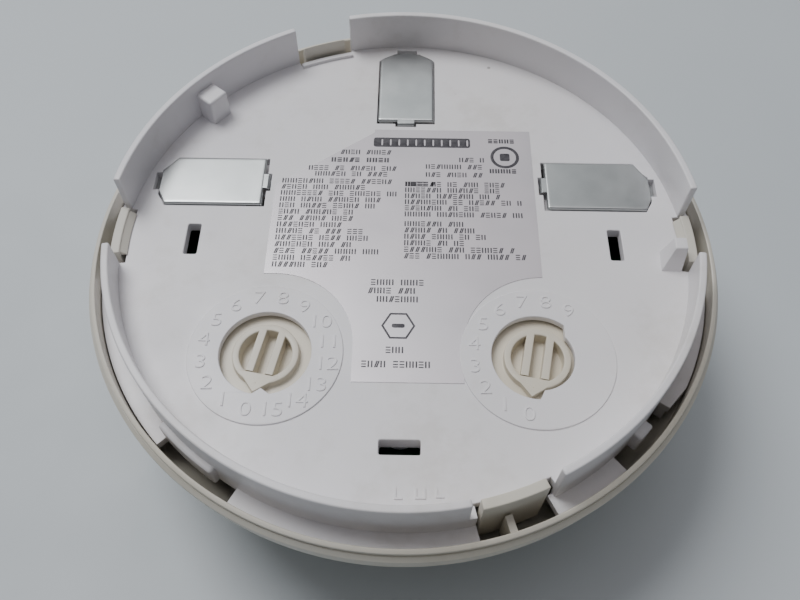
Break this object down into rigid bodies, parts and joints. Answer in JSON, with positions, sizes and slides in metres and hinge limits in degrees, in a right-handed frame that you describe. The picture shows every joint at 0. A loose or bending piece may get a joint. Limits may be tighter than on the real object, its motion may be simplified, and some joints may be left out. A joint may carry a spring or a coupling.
{
  "type": "smoke detector head",
  "caption": "Round plug-in photoelectric smoke detector head with vented front cover, rotary address dials, contact clips and a twist-lock rim, lying on its front face.",
  "frame": {"origin": "centre of the front face, on the surface it rests on", "axes": "+Z from the front face towards the mounting side, +Y towards the rear contact clip, the address dials on the -Y side"},
  "size_m": [0.102, 0.102, 0.04],
  "materials": {
    "white_plastic": "satin moulded polycarbonate, cool white",
    "ivory_plastic": "satin moulded polycarbonate, ivory",
    "dial_ivory": "satin moulded nylon, ivory",
    "label_paper": "metallised polyester film, satin",
    "tinned_steel": "tinned spring sheet",
    "brass": "phosphor bronze spring sheet",
    "component_black": "moulded epoxy",
    "board_green": "glass epoxy laminate with green solder mask",
    "screw_steel": "zinc plated",
    "crystal_steel": "drawn can",
    "capacitor_can": "drawn can with printed sleeve",
    "reed_glass": "drawn glass tube",
    "led_resin": "moulded epoxy, red",
    "light_pipe_red": "moulded acrylic, clear red",
    "chamber_black": "matt black moulded ABS",
    "emitter_resin": "clear epoxy with a blue tint",
    "receiver_resin": "dark epoxy that passes infrared",
    "shield_steel": "tinned sheet",
    "screen_steel": "woven or etched stainless mesh"
  },
  "bodies": {
    "cover": {"cover": "ivory_plastic"},
    "housing": {"housing": "white_plastic", "rating_label": "label_paper", "tens_switch_case": "component_black", "ones_switch_case": "component_black", "circuit_board": "board_green", "board_screw_1": "screw_steel", "board_screw_2": "screw_steel", "board_screw_3": "screw_steel", "microcontroller": "component_black", "bridge_rectifier": "component_black", "voltage_regulator": "component_black", "surge_suppressor": "component_black", "clock_crystal": "crystal_steel", "filter_capacitor": "capacitor_can", "storage_capacitor": "capacitor_can", "reed_switch": "reed_glass", "status_led_left": "led_resin", "status_led_right": "led_resin", "light_pipe_left": "light_pipe_red", "light_pipe_right": "light_pipe_red", "chamber_base": "chamber_black", "emitter_holder": "chamber_black", "infrared_emitter": "emitter_resin", "receiver_holder": "chamber_black", "photodiode": "receiver_resin", "receiver_shield": "shield_steel"},
    "chamber_cap": {"chamber_cap": "chamber_black", "insect_screen": "screen_steel"},
    "tens_dial": {"tens_dial": "dial_ivory", "tens_wiper": "brass"},
    "ones_dial": {"ones_dial": "dial_ivory", "ones_wiper": "brass"},
    "release_tab_rear": {"release_tab_rear": "ivory_plastic"},
    "release_tab_left": {"release_tab_left": "ivory_plastic"},
    "release_tab_right": {"release_tab_right": "ivory_plastic"},
    "release_tab_front": {"release_tab_front": "ivory_plastic"},
    "contact_clip_left": {"contact_clip_left": "tinned_steel"},
    "contact_clip_right": {"contact_clip_right": "tinned_steel"},
    "contact_clip_rear": {"contact_clip_rear": "tinned_steel"}
  },
  "joints": [
    {"name": "cover_release", "type": "slide", "parent": "cover", "child": "housing", "axis": [0, 0, 1], "range_m": [0, 0.045]},
    {"name": "chamber_cap_pull", "type": "slide", "parent": "housing", "child": "chamber_cap", "axis": [0, 0, -1], "range_m": [0, 0.0205]},
    {"name": "tens_dial_turn", "type": "hinge", "parent": "housing", "child": "tens_dial", "pos_m": [-0.02028, -0.02133, 0.0302], "axis": [0, 0, -1], "range_deg": [0, 337.5]},
    {"name": "ones_dial_turn", "type": "hinge", "parent": "housing", "child": "ones_dial", "pos_m": [0.02028, -0.02133, 0.0302], "axis": [0, 0, -1], "range_deg": [0, 202.5]},
    {"name": "release_tab_rear_flex", "type": "hinge", "parent": "cover", "child": "release_tab_rear", "pos_m": [-0.01586, 0.04334, 0.0245], "axis": [0.9391, 0.3437, 0], "range_deg": [0, 3], "stiffness_Nm_per_rad": 0.1},
    {"name": "release_tab_left_flex", "type": "hinge", "parent": "cover", "child": "release_tab_left", "pos_m": [-0.04615, 0, 0.0245], "axis": [0, 1, 0], "range_deg": [0, 3], "stiffness_Nm_per_rad": 0.1},
    {"name": "release_tab_right_flex", "type": "hinge", "parent": "cover", "child": "release_tab_right", "pos_m": [0.04615, 0, 0.0245], "axis": [0, -1, 0], "range_deg": [0, 3], "stiffness_Nm_per_rad": 0.1},
    {"name": "release_tab_front_flex", "type": "hinge", "parent": "cover", "child": "release_tab_front", "pos_m": [0.01533, -0.04353, 0.0245], "axis": [-0.9432, -0.3322, 0], "range_deg": [0, 3], "stiffness_Nm_per_rad": 0.1},
    {"name": "contact_clip_left_flex", "type": "hinge", "parent": "housing", "child": "contact_clip_left", "pos_m": [-0.0414, 0.0115, 0.03265], "axis": [0, 1, 0], "range_deg": [0, 3], "stiffness_Nm_per_rad": 0.05},
    {"name": "contact_clip_right_flex", "type": "hinge", "parent": "housing", "child": "contact_clip_right", "pos_m": [0.0414, 0.0115, 0.03265], "axis": [0, -1, 0], "range_deg": [0, 3], "stiffness_Nm_per_rad": 0.05},
    {"name": "contact_clip_rear_flex", "type": "hinge", "parent": "housing", "child": "contact_clip_rear", "pos_m": [0, 0.0435, 0.03265], "axis": [1, 0, 0], "range_deg": [0, 3], "stiffness_Nm_per_rad": 0.05}
  ],
  "couplings": [
    {"joint": "chamber_cap_pull", "follows": "cover_release", "ratio": 0.45}
  ]
}
